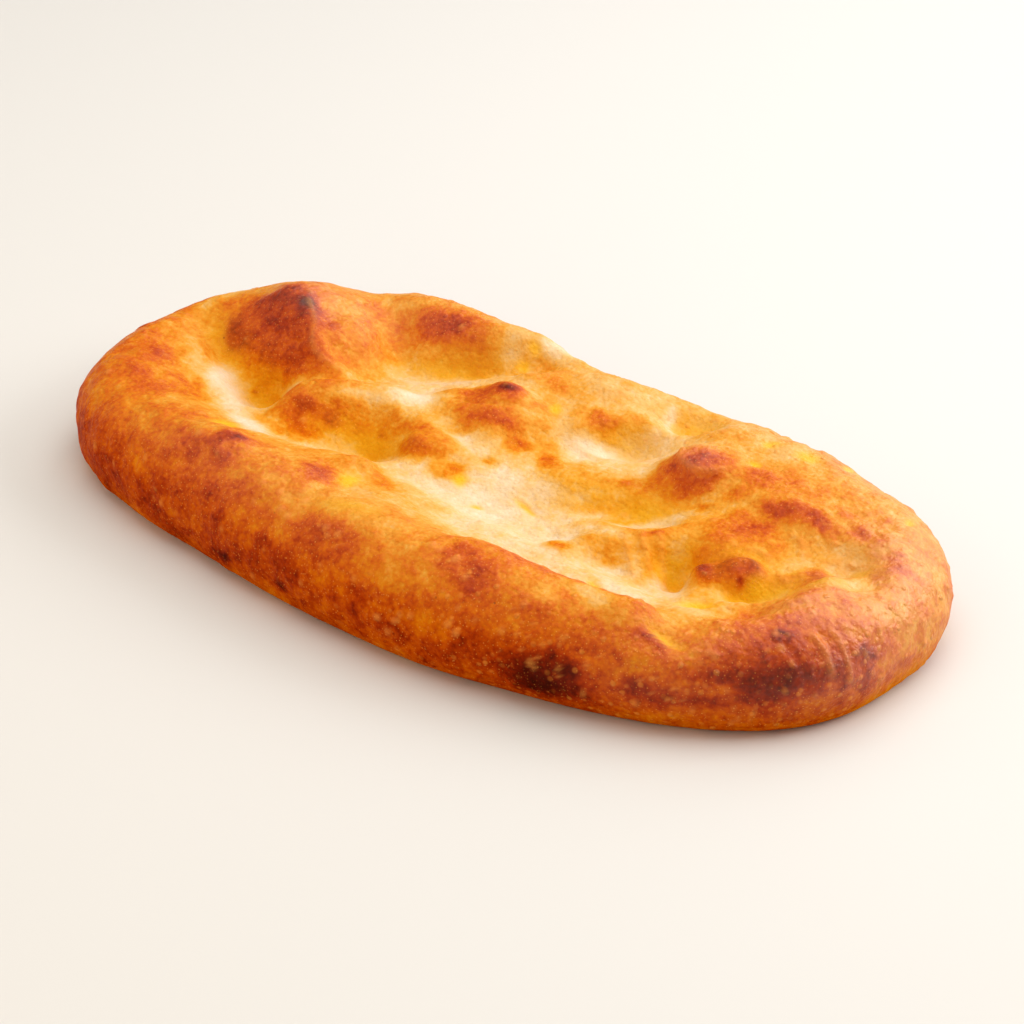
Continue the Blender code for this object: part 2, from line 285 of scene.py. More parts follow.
def crown_height(plan):
    """The pressed height with its edges rounded off by the skin, and its blisters."""
    height = np.zeros(len(plan))
    for k in range(SKIN_SAMPLES):
        reach = SKIN_RADIUS * math.sqrt((k + 0.5) / SKIN_SAMPLES)
        turn = k * GOLDEN_ANGLE
        height += pressed_height(plan + [reach * math.cos(turn), reach * math.sin(turn)])
    height /= SKIN_SAMPLES
    for spot in BLISTERS.values():
        height = pull_towards(height, plan, *spot, BLISTER_POWER)
    return height


def way_round(u, v):
    """How far round its ring each grid point lies, from 0 to 1, anticlockwise from +X."""
    ring = np.maximum(np.maximum(np.abs(u), np.abs(v)), NEARLY)
    a, b = u / ring, v / ring
    half_along, half_across = STEPS_ALONG / 2, STEPS_ACROSS / 2
    quarter = half_along + half_across
    on_sides = [
        (a >= 1 - NEARLY, b * half_across),
        (b >= 1 - NEARLY, quarter - a * half_along),
        (a <= NEARLY - 1, 2 * quarter - b * half_across),
    ]
    last = 3 * quarter + a * half_along
    way = np.select([side for side, _ in on_sides], [steps for _, steps in on_sides], last)
    return way / (4 * quarter) % 1


def upper_surface(u, v):
    """Places grid points (-1 to 1 each way) on the crown, and says how far down the side.

    The rings are evenly spaced along the surface: flat over the middle, then down the
    rounded edge, which keeps the same section all the way round, to the bulge.
    """
    rim, outward = along_outline(way_round(u, v))
    crest = rim - outward * CREST_INSET
    flat = np.hypot(*crest.T)
    bend = CREST_INSET * math.pi / 2
    reach = np.maximum(np.abs(u), np.abs(v)) * (flat + bend)
    turn = np.clip((reach - flat) / bend, 0, 1) * math.pi / 2
    middle = crest * np.minimum(reach / flat, 1)[:, None]
    edge = rim - outward * (CREST_INSET * (1 - np.sin(turn)))[:, None]
    plan = np.where((turn > 0)[:, None], edge, middle)
    height = BULGE_HEIGHT + (crown_height(plan) - BULGE_HEIGHT) * np.cos(turn)
    return np.column_stack([plan, height]), np.sin(turn)


def under_surface(u, v, depth):
    """Places rim points (depth 0 at the bulge, 1 at the flat base) on the underside's curve."""
    rim, outward = along_outline(way_round(u, v))
    turn = depth * math.pi / 2
    plan = rim - outward * (FOOT_INSET * (1 - np.cos(turn)))[:, None]
    return np.column_stack([plan, BULGE_HEIGHT * (1 - np.sin(turn))])


dough = bmesh.new()
bmesh.ops.create_grid(dough, x_segments=STEPS_ALONG, y_segments=STEPS_ACROSS, size=1)
top_count = len(dough.verts)
depths = [0.0] * top_count
rim_edges = [edge for edge in dough.edges if edge.is_boundary]
for ring in range(1, UNDER_RINGS + 1):
    made = bmesh.ops.extrude_edge_only(dough, edges=rim_edges)["geom"]
    depths += [ring / UNDER_RINGS for item in made if isinstance(item, bmesh.types.BMVert)]
    rim_edges = [item for item in made if isinstance(item, bmesh.types.BMEdge) and item.is_boundary]
bmesh.ops.contextual_create(dough, geom=rim_edges)
depths = np.array(depths)
grid = np.array([vert.co[:2] for vert in dough.verts])
top, side_share = upper_surface(*grid[:top_count].T)
under = under_surface(*grid[top_count:].T, depths[top_count:])
places = np.vstack([top, under])
side_share = np.concatenate([side_share, np.ones(len(under))])
for vert, place in zip(dough.verts, places * MM):
    vert.co = place
bmesh.ops.recalc_face_normals(dough, faces=dough.faces[:])
mesh = bpy.data.meshes.new("focaccia_bread")
dough.to_mesh(mesh)
dough.free()
mesh.shade_smooth()
bread = bpy.data.objects.new("focaccia_bread", mesh)
bpy.context.scene.collection.objects.link(bread)

# ---------------------------------------------------------------------------------------
# The skin of the crust: dough that dried and blistered in the oven. It is lumpy all over,
# wrinkled at the right end, and set with small blisters, pits and fine folds.
# ---------------------------------------------------------------------------------------

# Lumps all over: their size across and their height. The sides shrank a little as they dried.
LUMPS = ((22, 0.8), (10, 0.5), (5.5, 0.42), (2.8, 0.24))
SIDE_SHRINKAGE = 0.6
SEED_STEP = (3.7, 5.3, 1.9)

# Fine folds: half the width and the rise, then the points (x, y) they pass. A negative rise
# is a groove. The raised ones are drawn paler: partly crust that dried paler, partly painted
# highlight along their crests.
FOLD_PALENESS_AND_HIGHLIGHT = 0.6
FOLDS = {
    "crater_rim": (0.8, 0.9, (50, 31), (51, 28), (54, 25.5), (58, 24.5), (63, 26), (66, 29)),
    "far_left_crest": (0.8, 0.4, (-96, 28), (-88, 21), (-83, 14), (-78, 12), (-71, 13)),
    "knob_fold": (0.7, -0.8, (-32, -26), (-29, -29), (-26, -31), (-22, -31)),
    "middle_crease": (0.8, -0.7, (-26, 20), (-19, 20), (-12, 22), (-8, 26)),
    "trough_lip": (1.2, 0.5, (13, 26), (22, 25), (31, 28), (37, 33)),
    "hump_arc": (0.9, 0.4, (-14, 47), (-11, 51), (-7, 53), (-2, 52)),
    "ridge_wrinkle_1": (0.8, 0.7, (60, -5), (65, -10), (71, -15)),
    "ridge_wrinkle_2": (0.8, 0.6, (56, -8), (61, -13), (66, -18)),
    "ridge_wrinkle_3": (0.8, 0.7, (65, -3), (69, -7), (75, -14)),
    "end_fold": (0.9, 0.6, (120, 15), (126, 16), (133, 14)),
    "front_crease": (1.0, -0.7, (94, -49), (99, -48), (105, -49)),
    "knob_arc": (0.8, 0.6, (92, 5), (96, 6), (100, 4), (104, 1), (108, -1)),
    "shelf_arc": (0.8, 0.5, (99, 17), (102, 16), (105, 13), (108, 10)),
    "right_rim_lip": (0.9, 0.5, (115, -19), (121, -19), (126, -13), (131, -7), (134, 2), (138, 6)),
    "side_wrinkle_1": (0.9, -0.6, (129, -34), (133, -33.5), (136, -33.5)),
    "side_wrinkle_2": (0.9, 0.7, (133, -26), (137, -26), (140, -27)),
    "side_wrinkle_3": (0.8, 0.6, (136, -21), (140, -21), (143, -22)),
    "side_wrinkle_4": (0.8, 0.6, (138, -6), (142, -6), (145, -8)),
    "rim_wrinkle_1": (0.8, -0.5, (-29, -60), (-22, -57), (-14, -50)),
    "rim_wrinkle_2": (0.8, -0.4, (-58, -54), (-50, -50), (-41, -47)),
    "rim_wrinkle_3": (0.8, -0.4, (-92, -46), (-84, -44), (-77, -45)),
}


def bumps(points, size, seed):
    """Smooth random rise and fall between about -1 and 1, with humps of about the given size."""
    start = Vector(SEED_STEP) * seed
    return np.array([noise.noise(Vector(point) / size + start) for point in points])


def step_up(value, start, end):
    """0 below start, 1 above end, and a smooth rise between."""
    t = np.clip((value - start) / (end - start), 0, 1)
    return t * t * (3 - 2 * t)


raised = sum(bumps(places, size, seed) * height for seed, (size, height) in enumerate(LUMPS))
raised -= SIDE_SHRINKAGE * side_share

# Wrinkles, squeezed up where the right end of the rim dried first: from none to full between
# two places along the bread and between two heights.
WRINKLE_LENGTH = 8
WRINKLE_WIDTH = 2.2
WRINKLE_HEIGHT = 0.3
WRINKLE_WANDER = 1.5
WRINKLE_TURN = math.radians(-35)
WRINKLE_SEED = 9
WANDER_SEED = 8
WRINKLED_ALONG = (70, 120)
WRINKLED_ABOVE = (14, 26)
turn_cos, turn_sin = math.cos(WRINKLE_TURN), math.sin(WRINKLE_TURN)
wander = WRINKLE_WANDER * bumps(places, WRINKLE_LENGTH, WANDER_SEED)
turned = np.column_stack([
    (places[:, 0] * turn_cos + places[:, 1] * turn_sin + wander) / WRINKLE_LENGTH,
    (places[:, 1] * turn_cos - places[:, 0] * turn_sin + wander) / WRINKLE_WIDTH,
    places[:, 2] / WRINKLE_WIDTH])
# The noise is folded at nought, which gives the wrinkles narrow crests.
wrinkle = 0.5 - np.abs(bumps(turned, 1, WRINKLE_SEED)) * 2
wrinkled = step_up(places[:, 0], *WRINKLED_ALONG) * step_up(places[:, 2], *WRINKLED_ABOVE)
raised += wrinkle * WRINKLE_HEIGHT * wrinkled

# What stands up off the skin, from 0 to 1: the raised folds and the small blisters.
standing = np.zeros(len(places))
for half_width, rise, *points in FOLDS.values():
    run = [(x, y, 1) for x, y in points]
    fold = pull_to_run(np.zeros(len(places)), places[:, :2], half_width, run, 1) * (depths == 0)
    raised += fold * rise
    standing = np.maximum(standing, fold * (rise > 0) * FOLD_PALENESS_AND_HIGHLIGHT)

# Small blisters, each a dome of gas under the skin. Few are in the middle, none is close to
# the base, and there are more towards the right end. They dried paler; the folds are drawn
# paler with them, partly as painted highlight.
SMALL_BLISTERS = 420
SMALL_BLISTER_RADIUS = (1.1, 2.0)
SMALL_BLISTER_SHRINK = (0.6, 1)
SMALL_BLISTER_HEIGHT = 0.5
SMALL_BLISTER_SEED = 11
BLISTERED_MIDDLE = 0.12
BLISTERED_LEFT = 0.35
BLISTERED_ALONG = (-60, 90)
BLISTERED_ABOVE = 3
draw = np.random.default_rng(SMALL_BLISTER_SEED)
nearby = kdtree.KDTree(len(places))
for number, place in enumerate(places):
    nearby.insert(place, number)
nearby.balance()
likely = BLISTERED_MIDDLE + (1 - BLISTERED_MIDDLE) * rim_share(places[:, :2])
likely *= places[:, 2] > BLISTERED_ABOVE
likely *= BLISTERED_LEFT + step_up(places[:, 0], *BLISTERED_ALONG)
chosen = draw.choice(len(places), SMALL_BLISTERS, replace=False, p=likely / likely.sum())
blistered = np.zeros(len(places))
for middle in chosen:
    radius = draw.uniform(*SMALL_BLISTER_RADIUS) * draw.uniform(*SMALL_BLISTER_SHRINK)
    for _, number, apart in nearby.find_range(places[middle], radius):
        dome = 1 - (apart / radius) ** 2
        blistered[number] = max(blistered[number], dome * radius / SMALL_BLISTER_RADIUS[1])
raised += blistered * SMALL_BLISTER_HEIGHT
standing = np.maximum(standing, blistered)

# Little windows where the dough burst or sank and only a thin skin is left: x, y,
# half-length, half-width, turn. Most of their colour is that of the thin skin.
WINDOWS = {
    "far_rim_1": (-26, 58, 2.2, 1.6, 0),
    "far_rim_2": (-27, 53, 2.2, 1.4, 0),
    "far_rim_3": (70, 50, 2.8, 1.8, 27),
    "far_rim_4": (83, 50, 3.4, 2.4, 0),
    "far_rim_5": (94, 57, 3, 1.5, -70),
    "hill": (0, 34, 2.4, 1.6, -60),
    "left_rim": (-76, -37, 5.5, 3.2, -80),
    "left_rim_dip": (-25, -38, 4.5, 3, -70),
    "front_shelf": (65, -35, 4.3, 1.5, -27),
    "valley_seed": (7, -16, 1.8, 1.0, 25),
    "valley_streak": (19, -7, 4.5, 1.0, -13),
    "valley_dot": (-4, -10, 2.8, 2, -50),
    "pebble": (94, -26, 5, 2.5, 25),
    "front_crease": (99, -49, 5, 1.4, 0),
    "right_rim": (126, 39, 2.2, 1.3, -74),
    "right_hill": (72, 38, 1.8, 1.3, 0),
}
WINDOW_DEPTH = 0.5
WINDOW_POWER = 1.6
THIN_SHARE = 0.85
windowed = np.zeros(len(places))
for x, y, *size in WINDOWS.values():
    window = pull_towards(np.zeros(len(places)), places[:, :2], x, y, 1, *size, WINDOW_POWER)
    windowed = np.maximum(windowed, window * (depths == 0))
raised -= windowed * WINDOW_DEPTH

# The relief fades out close to the tray, and the skin stays inside the part's own box.
FADES_BETWEEN = (0.2, 4)
raised *= step_up(places[:, 2], *FADES_BETWEEN)
outward = np.empty(places.size)
mesh.vertices.foreach_get("normal", outward)
skin = places + outward.reshape(-1, 3) * raised[:, None]
skin = np.clip(skin, low, high)
mesh.vertices.foreach_set("co", (skin * MM).ravel())
mesh.update()

# ---------------------------------------------------------------------------------------
# Browning: the crust is cream where fingers thinned the dough, gold on slopes, orange on
# the rim and red-brown where it stood up towards the heat, with scorched tips. Some pale
# places and the far crest are painted sheen and highlight, and a few dark ones painted shade.
# ---------------------------------------------------------------------------------------

# Browning from 0 to 1. That of the rim's crest and of its side changes at even steps of
# angle, anticlockwise from +X. Each millimetre that a place stands above what is round it,
# over so many cells of the mesh, adds a little: less on the rim than in the middle.
MIDDLE_BROWNING = 0.27
# The low values round the far side, from 60 to 120 degrees, are painted sheen: they draw the far crest
# paler, as light glancing off its oil would.
RIM_BROWNING_AND_SHEEN = (0.44, 0.34, 0.25, 0.20, 0.24, 0.36, 0.44, 0.43, 0.38, 0.34, 0.44, 0.44)
SIDE_BROWNING = (0.54, 0.50, 0.52, 0.60, 0.68, 0.72, 0.78, 0.81, 0.77, 0.72, 0.74, 0.66)
UNDER_BROWNING = 0.64
RISE_BROWNING = 0.06
RISE_LIMITS = (-0.10, 0.25)
RISE_CELLS = 14
RISE_FADE_ON_RIM = 0.6

# Pale places, where the dough was pressed thin, then toasted ones: x, y, browning,
# half-length, half-width, turn. Three of the pale ones are painted highlight and sheen, and
# three of the toasted ones in the left pit and trough are painted shade; each is marked.
# Their edges are pushed about, so that none is a clean oval.
SPOT_POWER = 1.2
WARP_SIZE = 7
WARP_REACH = 1.6
WARP_SEEDS = (21, 22)
PALE = {
    "front_valley_left": (10, -17, 0.12, 22, 9, -14),
    "front_valley": (60, -22, 0.20, 24, 4, -5),
    "front_valley_end": (87, -28, 0.22, 12, 3.5, -16),
    "left_slope": (-102, -9, 0.11, 21, 6, -28),
    "left_lip": (-76, -25, 0.11, 12, 3.4, -27),
    "left_saddle": (-42, 15, 0.08, 9, 5, 33),
    "far_saddle": (-62, 20, 0.27, 10, 5, 60),
    "far_valley": (-48, 40, 0.22, 16, 3, 27),
    "trough_lip": (21, 29, 0.10, 9, 3.5, 12),
    "notch_wall": (32, 52, 0.06, 6, 2, -56),
    "right_end_lip": (128, 0, 0.26, 9, 3, 70),
    "right_hollow": (106, 13, 0.32, 13, 4, 7),
    "rim_cream": (-33, 56, 0.1, 9, 4, 6),
    "rim_cream_right": (-19, 63, 0.14, 7, 5, 24),
    # Painted highlight: the lit right side of the far left peak, drawn paler.
    "peak_right_painted_highlight": (-95, 31, 0.36, 6, 2.2, -70),
    "behind_left_ridge": (-55, 3, 0.2, 13, 2, 36),
    # Painted highlight: a pale band along the top of the far left rim, where light glances off it.
    "upper_rim_left_painted_highlight": (-133, 23, 0.28, 11, 5, -81),
    "valley_bright": (8, -1, 0.12, 7, 4, -20),
    "valley_rim": (73, -32, 0.14, 10, 3.5, -19),
    "valley_rim_end": (98, -36, 0.18, 5, 4, -84),
    "end_rim": (140, -12, 0.52, 10, 4.5, 35),
    "right_end_rim": (139, 28, 0.44, 18, 5, -73),
    "valley_right": (30, -20, 0.16, 12, 6, -10),
    "peak_streak": (-82, 17, 0.4, 7, 1.6, -71),
    "left_front_dent": (-82, -55, 0.48, 7, 4, -10),
    "basin_far": (19, 0, 0.16, 6, 4, -14),
    "ridge_foot": (48, -9, 0.22, 11, 3, -10),
    "front_rim_pale": (74, -50, 0.26, 10, 3, -9),
    "saddle_top": (100, -41, 0.2, 8, 5, -40),
    "left_rim_front": (-27, -70, 0.54, 9, 2.5, -5),
    "left_rim_top": (-7, -61, 0.34, 10, 3, 12),
    "left_end_front": (-90, -62, 0.58, 6, 3, -9),
    "middle_front_slope": (-19, 11, 0.36, 5, 3, 30),
    "blister_side": (39, 40, 0.22, 12, 6, -22),
    "front_patch_top": (32, -54, 0.34, 7, 3.5, 8),
    "left_end_pale": (-108, -35, 0.44, 13, 6.5, -38),
    "inner_rim": (21, -70, 0.44, 8.5, 4.2, 0),
    "right_rim_inner": (127, -17, 0.42, 9, 2.4, 18),
    "far_right_end": (119, 46, 0.38, 12, 6, -30),
    "far_rim_crest": (-59, 59, 0.46, 8, 3, 10),
    "end_rim_top": (143, -10, 0.5, 5, 2.4, 66),
    # Painted sheen: this part of the far rim is drawn paler for light glancing off it.
    "far_rim_right_painted_sheen": (74, 48, 0.28, 9, 4.5, 12),
    "end_hollow_far": (119, 19, 0.26, 7, 2.5, -30),
    "front_rim_bright": (60, -57, 0.4, 9, 4, 0),
}
TOASTED = {
    "far_left_face": (-104, 19, 0.78, 19, 7, -5),
    "far_left_face_low": (-93, 10, 0.72, 18, 5, 2),
    "far_left_face_edge": (-116, 13, 0.79, 6, 4, -38),
    "far_left_streak": (-103, 26, 0.82, 13, 3, 0),
    "peak_scorch": (-95, 26, 0.96, 5.5, 3, -38),
    "crest_right": (-85, 27, 0.60, 5, 3, -58),
    "far_rim_patch": (-55, 52, 0.78, 13, 5, 15),
    "far_rim_patch_right": (-44, 53, 0.60, 6, 3, 16),
    "left_ridge_crest": (-65, -7, 0.66, 9, 2.5, 36),
    "left_ridge_front": (-62, -7, 0.70, 8, 1.8, 33),
    "left_ridge_right": (-42, 1, 0.48, 11, 3.5, 3),
    "left_ridge_end": (-21, -5, 0.57, 7, 3, 34),
    "middle_body": (-14, 16.5, 0.68, 9, 3.6, 24),
    "middle_scorch": (-16, 28, 0.95, 5, 2.5, 20),
    "middle_left": (-28, 25, 0.56, 7, 3, 20),
    "middle_right": (-4, 30, 0.42, 6, 3, 35),
    "middle_front": (0, 15, 0.68, 4, 4, -74),
    "far_middle_patch": (15, 37, 0.62, 6, 4, 0),
    "far_middle_patch_right": (25, 43, 0.40, 4, 3, 16),
    "hump_streak": (-8, 52, 0.32, 6, 2, 10),
    "blister_brown": (57, 24, 0.78, 10, 6, 27),
    "blister_crater": (61, 29, 0.72, 5, 3.5, 37),
    "blister_front": (57, 21.5, 0.70, 7, 2, 18),
    "blister_shoulder": (48, 18, 0.54, 5, 4, 54),
    "shelf_spot": (39, 15, 0.53, 7, 3, 38),
    "shelf_spot_left": (22, 15, 0.34, 5, 3, 10),
    "right_patch_1": (90, 23, 0.78, 5, 3, 0),
    "right_patch_2": (102, 24, 0.78, 8, 3, -11),
    "right_patch_3": (119, 24, 0.70, 5, 3, -9),
    "right_patch_4": (133, 20, 0.48, 8, 3, -16),
    "knob": (97, -6, 0.88, 5.5, 4.5, -71),
    "knob_left": (86, -10, 0.86, 4.5, 3, -57),
    "end_knob": (115, 3, 0.78, 4, 3.5, -56),
    "end_knob_left": (109, -1, 0.60, 3, 2, 8),
    "end_brown": (131, 10, 0.74, 4, 3, -40),
    "valley_button": (43, -22, 0.56, 4, 2.5, 10),
    "valley_ridge": (58, -13, 0.36, 9, 2, 37),
    "valley_ridge_tip": (64, -4, 0.64, 3.5, 1.5, 45),
    "right_crest": (140, -3, 0.44, 16, 7, 61),
    "front_right_crest": (128, -25, 0.60, 17, 7, 51),
    "front_right_rim": (106, -41, 0.48, 11, 6, 20),
    "front_patch": (33, -58, 0.7, 7, 5, 0),
    "front_patch_tip": (34, -47, 0.44, 5, 3, 20),
    "left_front_patch": (-9, -68, 0.72, 11, 6, 3),
    "left_rim_scorch": (-64, -49, 0.82, 7, 3, 35),
    "left_rim_brown": (-74, -56, 0.70, 6, 4, -21),
    "left_rim_brown_low": (-82, -58, 0.62, 5, 3, -30),
    "left_mark": (-45, -65, 0.64, 10, 4, -11),
    "left_mark_low": (-55, -66, 0.72, 5, 3, -9),
    "left_end_rim": (-130, -30, 0.52, 18, 8, -65),
    "left_end_spot": (-106, -16, 0.49, 3, 2, -27),
    "valley_mark": (-10, -7, 0.52, 5, 2.5, -15),
    "valley_mark_right": (-2, 2, 0.48, 2.5, 2, 27),
    "left_end_top": (-127, -25, 0.60, 12, 6, -33),
    "left_end_side": (-107, -21, 0.56, 5, 3, -10),
    "left_ridge_face": (-59, -7, 0.80, 11, 3, 23),
    "left_ridge_gold": (-47, -1, 0.5, 12, 3.5, 7),
    "far_valley_wall": (-69, 43, 0.46, 9, 7, -36),
    "far_valley_wall_right": (-54, 42, 0.4, 7, 3, 12),
    "far_left_right": (-84, 46, 0.5, 8, 6, -4),
    "middle_left_side": (-26, 18, 0.54, 5, 4, -37),
    "middle_right_front": (6, 20, 0.34, 6, 4, -67),
    "left_knob_front": (-10, -10, 0.46, 4.5, 2.5, 14),
    "rim_inside": (-32, -42, 0.66, 7, 5, -54),
    "rim_inside_right": (-18, -30, 0.5, 6, 3, -45),
    "shelf_front": (42, 8, 0.42, 13, 3, 29),
    "valley_pebble_left": (58, -17, 0.44, 3, 2, 18),
    "right_hill_left": (80, 35, 0.50, 7, 5, 4),
    "right_hill_back": (101, 34, 0.50, 12, 3.5, -26),
    "right_shelf": (85, 12, 0.64, 9, 8, 18),
    "right_shelf_wall": (78, -1, 0.46, 6, 3, -23),
    "right_shelf_right": (99, 9, 0.52, 6, 3.5, -59),
    "end_knob_right": (117, 1, 0.6, 6, 3, 47),
    "front_rim_inside": (113, -28, 0.5, 8, 4.5, -84),
    "front_rim_brown": (128, -33, 0.76, 9, 3.5, 54),
    "front_top": (41, -62, 0.64, 7, 4, 0),
    "ridge_end_brown": (-26, -5, 0.62, 5.5, 3, -9),
    "peak_scorch_left": (-101, 30, 0.76, 5, 3, 5),
    "face_left_spot": (-116, 12.5, 0.78, 4.2, 2.5, -28),
    # Painted shade: the floor of the left pit, drawn browner where it lies in shadow.
    "left_pit_floor_painted_shade": (-93, 1, 0.6, 6, 4, -20),
    "far_rim_inside": (-30, 50, 0.38, 9, 3, 12),
    "blister_left": (48, 27, 0.50, 4, 3, 60),
    "end_sheen_brown": (133, -16, 0.52, 10, 3.3, 20),
    "right_pit_floor": (75, -9, 0.46, 5, 3, -50),
    "left_end_high": (-127, -15, 0.64, 8, 5, -17),
    "left_end_inside": (-107, -31, 0.58, 9.5, 4.5, 55),
    "left_valley_top": (-118, 2, 0.44, 12, 3, -52),
    "left_ridge_foot": (-67, -13, 0.62, 7, 2.2, 5),
    "far_rim_slope": (-19, 54, 0.38, 12, 3, -14),
    "middle_tip_left": (-21, 22, 0.58, 5, 4, -75),
    "middle_tip_right": (1, 26, 0.38, 7, 3, -56),
    "shelf_left_end": (13, 13, 0.5, 5.5, 3.5, -52),
    "shelf_line": (50, 7, 0.36, 15, 2, 42),
    "blister_left_edge": (53, 23, 0.72, 4, 2, -9),
    "notch_floor": (36, 55, 0.34, 4.5, 3, 39),
    "right_hill_front": (84, 31, 0.54, 11, 4.5, 5),
    "right_pit_wall": (69, -10, 0.50, 7, 2.5, -90),
    "end_knob_front": (106, -3, 0.5, 6, 1.8, 41),
    "front_rim_top": (115, -33, 0.6, 12, 4, -66),
    "front_middle": (96, -53, 0.68, 7, 3, 29),
    "left_rim_crest": (-60, -56, 0.7, 5, 3, 10),
    "left_trough_floor": (-42, -7, 0.46, 9, 4, 5),
    "between_hills": (-71, 29, 0.48, 11, 5, -50),
    "ridge_right_face": (-31, 2, 0.55, 8, 2.6, 0),
    "behind_tip": (-15, 54, 0.42, 8, 2.4, -9),
    "hill_brow": (73, 24, 0.5, 5, 3, 5),
    "end_shelf": (134, 18, 0.68, 5, 3, -44),
    "rim_front_right": (117, -43, 0.7, 6, 4, 52),
    "left_ridge_hollow": (-62, -13, 0.55, 7, 4.5, 20),
    "knobs_between": (91, -5, 0.76, 9, 6, -10),
    # Painted shade: dark dots at the deepest points of the left pit and the left trough.
    "pit_painted_shade": (-98, 1, 0.74, 1.1, 1.0, 0),
    "trough_painted_shade": (-42, -3, 0.66, 1.6, 1.1, 0),
    "knob_dot": (98, -10, 0.84, 1.3, 0.9, 28),
    "far_rim_foot": (-48, 46, 0.52, 12, 2.5, 14),
    "behind_middle_hill": (-6, 43, 0.42, 11, 6, -15),
    "ridge_saddle": (-73, 18, 0.5, 8, 3.5, -65),
    "hill_foot": (67, 18, 0.46, 4, 3, -20),
    "left_slope_foot": (-70, -18, 0.46, 9, 3, -9),
    "peak_foot_right": (-78, 37, 0.56, 7, 2.6, -41),
    "right_shelf_far": (105, 16, 0.44, 5, 3, -46),
}
# Toasted places on the sides: x, y, z, browning, half-length, half-width, turn.
SIDE_TOASTED = {
    "front_scorch": (71, -69, 12, 1.00, 12, 7, 13),
    "front_scorch_up": (76, -66, 19, 0.9, 10, 4, 22),
    "front_brown": (51, -72, 19, 0.78, 8, 8, 12),
    "front_brown_right": (64, -66, 26, 0.60, 14, 5, 25),
    "right_streak": (131, -38, 20, 0.95, 17, 6, 47),
    "right_streak_end": (144, -18, 21, 0.8, 9, 4.5, 70),
    "right_streak_low": (119, -50, 17, 0.90, 14, 5, 38),
    "left_dark": (-20, -75, 17, 0.82, 4, 3, 2),
    "left_low": (-30, -73, 20, 0.74, 10, 5, 10),
    "fleck_1": (-22, -76, 10, 0.94, 2, 2, 0),
    "fleck_2": (2, -77, 15, 0.82, 2, 2.5, 0),
    "fleck_3": (-47, -72, 9, 0.94, 2, 1.5, 0),
    "fleck_4": (8, -75, 20, 0.84, 3, 2, 0),
    "fleck_5": (27, -73, 24, 0.74, 2, 2, 0),
    "fleck_6": (147, -16, 14, 0.84, 4, 3, 60),
    "end_low": (148, -4, 12, 0.66, 12, 5, 86),
    "front_gold": (33, -74, 21, 0.6, 8, 5, 10),
    "front_gold_right": (83, -64, 19, 0.56, 9, 4, 10),
    "front_gold_end": (111, -54, 17, 0.58, 11, 3, 28),
    "front_crease_low": (114, -54, 10, 0.55, 3, 2, 28),
    "right_low": (149, 2, 16, 0.5, 9, 3, 84),
    "front_low_right": (101, -60, 14, 0.86, 9, 4, 24),
    "left_end_low": (-85, -65, 16, 0.82, 6, 3, -9),
    "front_scorch_right": (77, -67, 16, 0.93, 6, 4, 20),
    "right_streak_core": (133, -37, 21, 0.92, 8, 2.5, 50),
    "left_low_pale": (-67, -69, 14, 0.66, 8, 4, -5),
}
# Places where oil stood and soaked in, translucent and golden: x, y, share, half-length,
# half-width, turn. It baked in and fades from sight between these two shares of browning.
OIL_FADES = (0.6, 0.85)
OILED = {
    "left_pit": (-94, 0, 0.5, 9, 6, -20),
    "left_groove": (-118, 11, 0.6, 10, 4, -30),
    "left_trough": (-45, -7, 0.6, 13, 5, 5),
    "far_valley": (-48, 43, 0.6, 17, 3.5, 27),
    "far_trough": (28, 37, 0.5, 9, 4, 20),
    "far_notch": (39, 56, 0.7, 7, 4, 5),
    "middle_trough": (51, 10, 0.65, 8, 5, 15),
    "shelf": (33, 7, 0.35, 14, 5, 15),
    "right_pit": (74, -8, 0.8, 6, 4.5, 75),
    "right_slot": (104, -8, 1, 10, 3.5, 45),
    "right_end": (127, 11, 0.7, 7, 4, -50),
    "end_ridge_front": (122, -4, 0.8, 8, 2.5, 40),
    "left_fold_low": (-9, -56, 0.6, 8, 3, 13),
    "right_knobs": (92, -2, 0.5, 12, 6, 20),
}


def spread(field, cells):
    """The field averaged over a bell-shaped neighbourhood of grid cells."""
    steps = np.arange(-3 * cells, 3 * cells + 1)
    bell = np.exp(-0.5 * (steps / cells) ** 2)
    bell /= bell.sum()
    for _ in range(2):
        padded = np.pad(field, ((0, 0), (3 * cells, 3 * cells)), mode="edge")
        field = np.array([np.convolve(line, bell, "valid") for line in padded]).T
    return field


shape = (STEPS_ACROSS + 1, STEPS_ALONG + 1)
crown = skin[:top_count, 2].reshape(shape)
stands_up = np.zeros(len(skin))
stands_up[:top_count] = (crown - spread(crown, RISE_CELLS)).ravel()
stands_up *= 1 - side_share

warp = np.column_stack([bumps(places, WARP_SIZE, seed) for seed in WARP_SEEDS])
plan = places[:, :2] + WARP_REACH * warp
share = rim_share(plan)
way = np.arctan2(places[:, 1], places[:, 0])
rim_brown_and_sheen = smooth_round(RIM_BROWNING_AND_SHEEN, way)
side_brown = smooth_round(SIDE_BROWNING, way)
browning_and_painted_light = MIDDLE_BROWNING + (rim_brown_and_sheen - MIDDLE_BROWNING) * share
browning_and_painted_light += (side_brown - rim_brown_and_sheen) * side_share**2 * share
browning_and_painted_light += (UNDER_BROWNING - side_brown) * depths
browning_and_painted_light += np.clip(stands_up * RISE_BROWNING, *RISE_LIMITS) * (1 - RISE_FADE_ON_RIM * share)
for spot in [*PALE.values(), *TOASTED.values()]:
    browning_and_painted_light = pull_towards(browning_and_painted_light, plan, *spot, SPOT_POWER)
